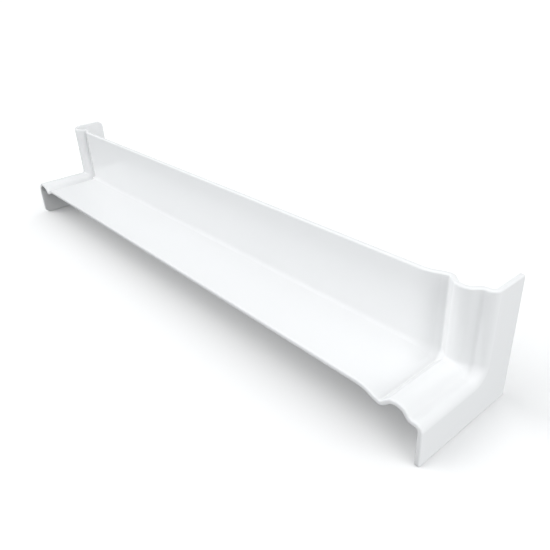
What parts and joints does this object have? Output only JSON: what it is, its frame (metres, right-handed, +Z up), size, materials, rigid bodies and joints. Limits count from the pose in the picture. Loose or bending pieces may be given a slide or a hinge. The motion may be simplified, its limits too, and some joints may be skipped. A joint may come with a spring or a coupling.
{
  "type": "internal fascia corner angle",
  "caption": "White plastic internal right-angle corner trim for fascia boards: an L of equal walls with return legs at both ends, one end with an ogee moulding, the other with a rounded bead.",
  "frame": {"origin": "middle of the bottom of the bounding box, on the level surface that the lower edges of the two end flanges stand on", "axes": "+X along the length towards the ogee end, +Y from the free front edge of the level wall towards the back, +Z up along the upright wall"},
  "size_m": [0.5, 0.083, 0.083],
  "materials": {
    "white_pvc": "smooth white gloss, self-coloured"
  },
  "bodies": {
    "root": {"corner_angle": "white_pvc"}
  },
  "joints": []
}
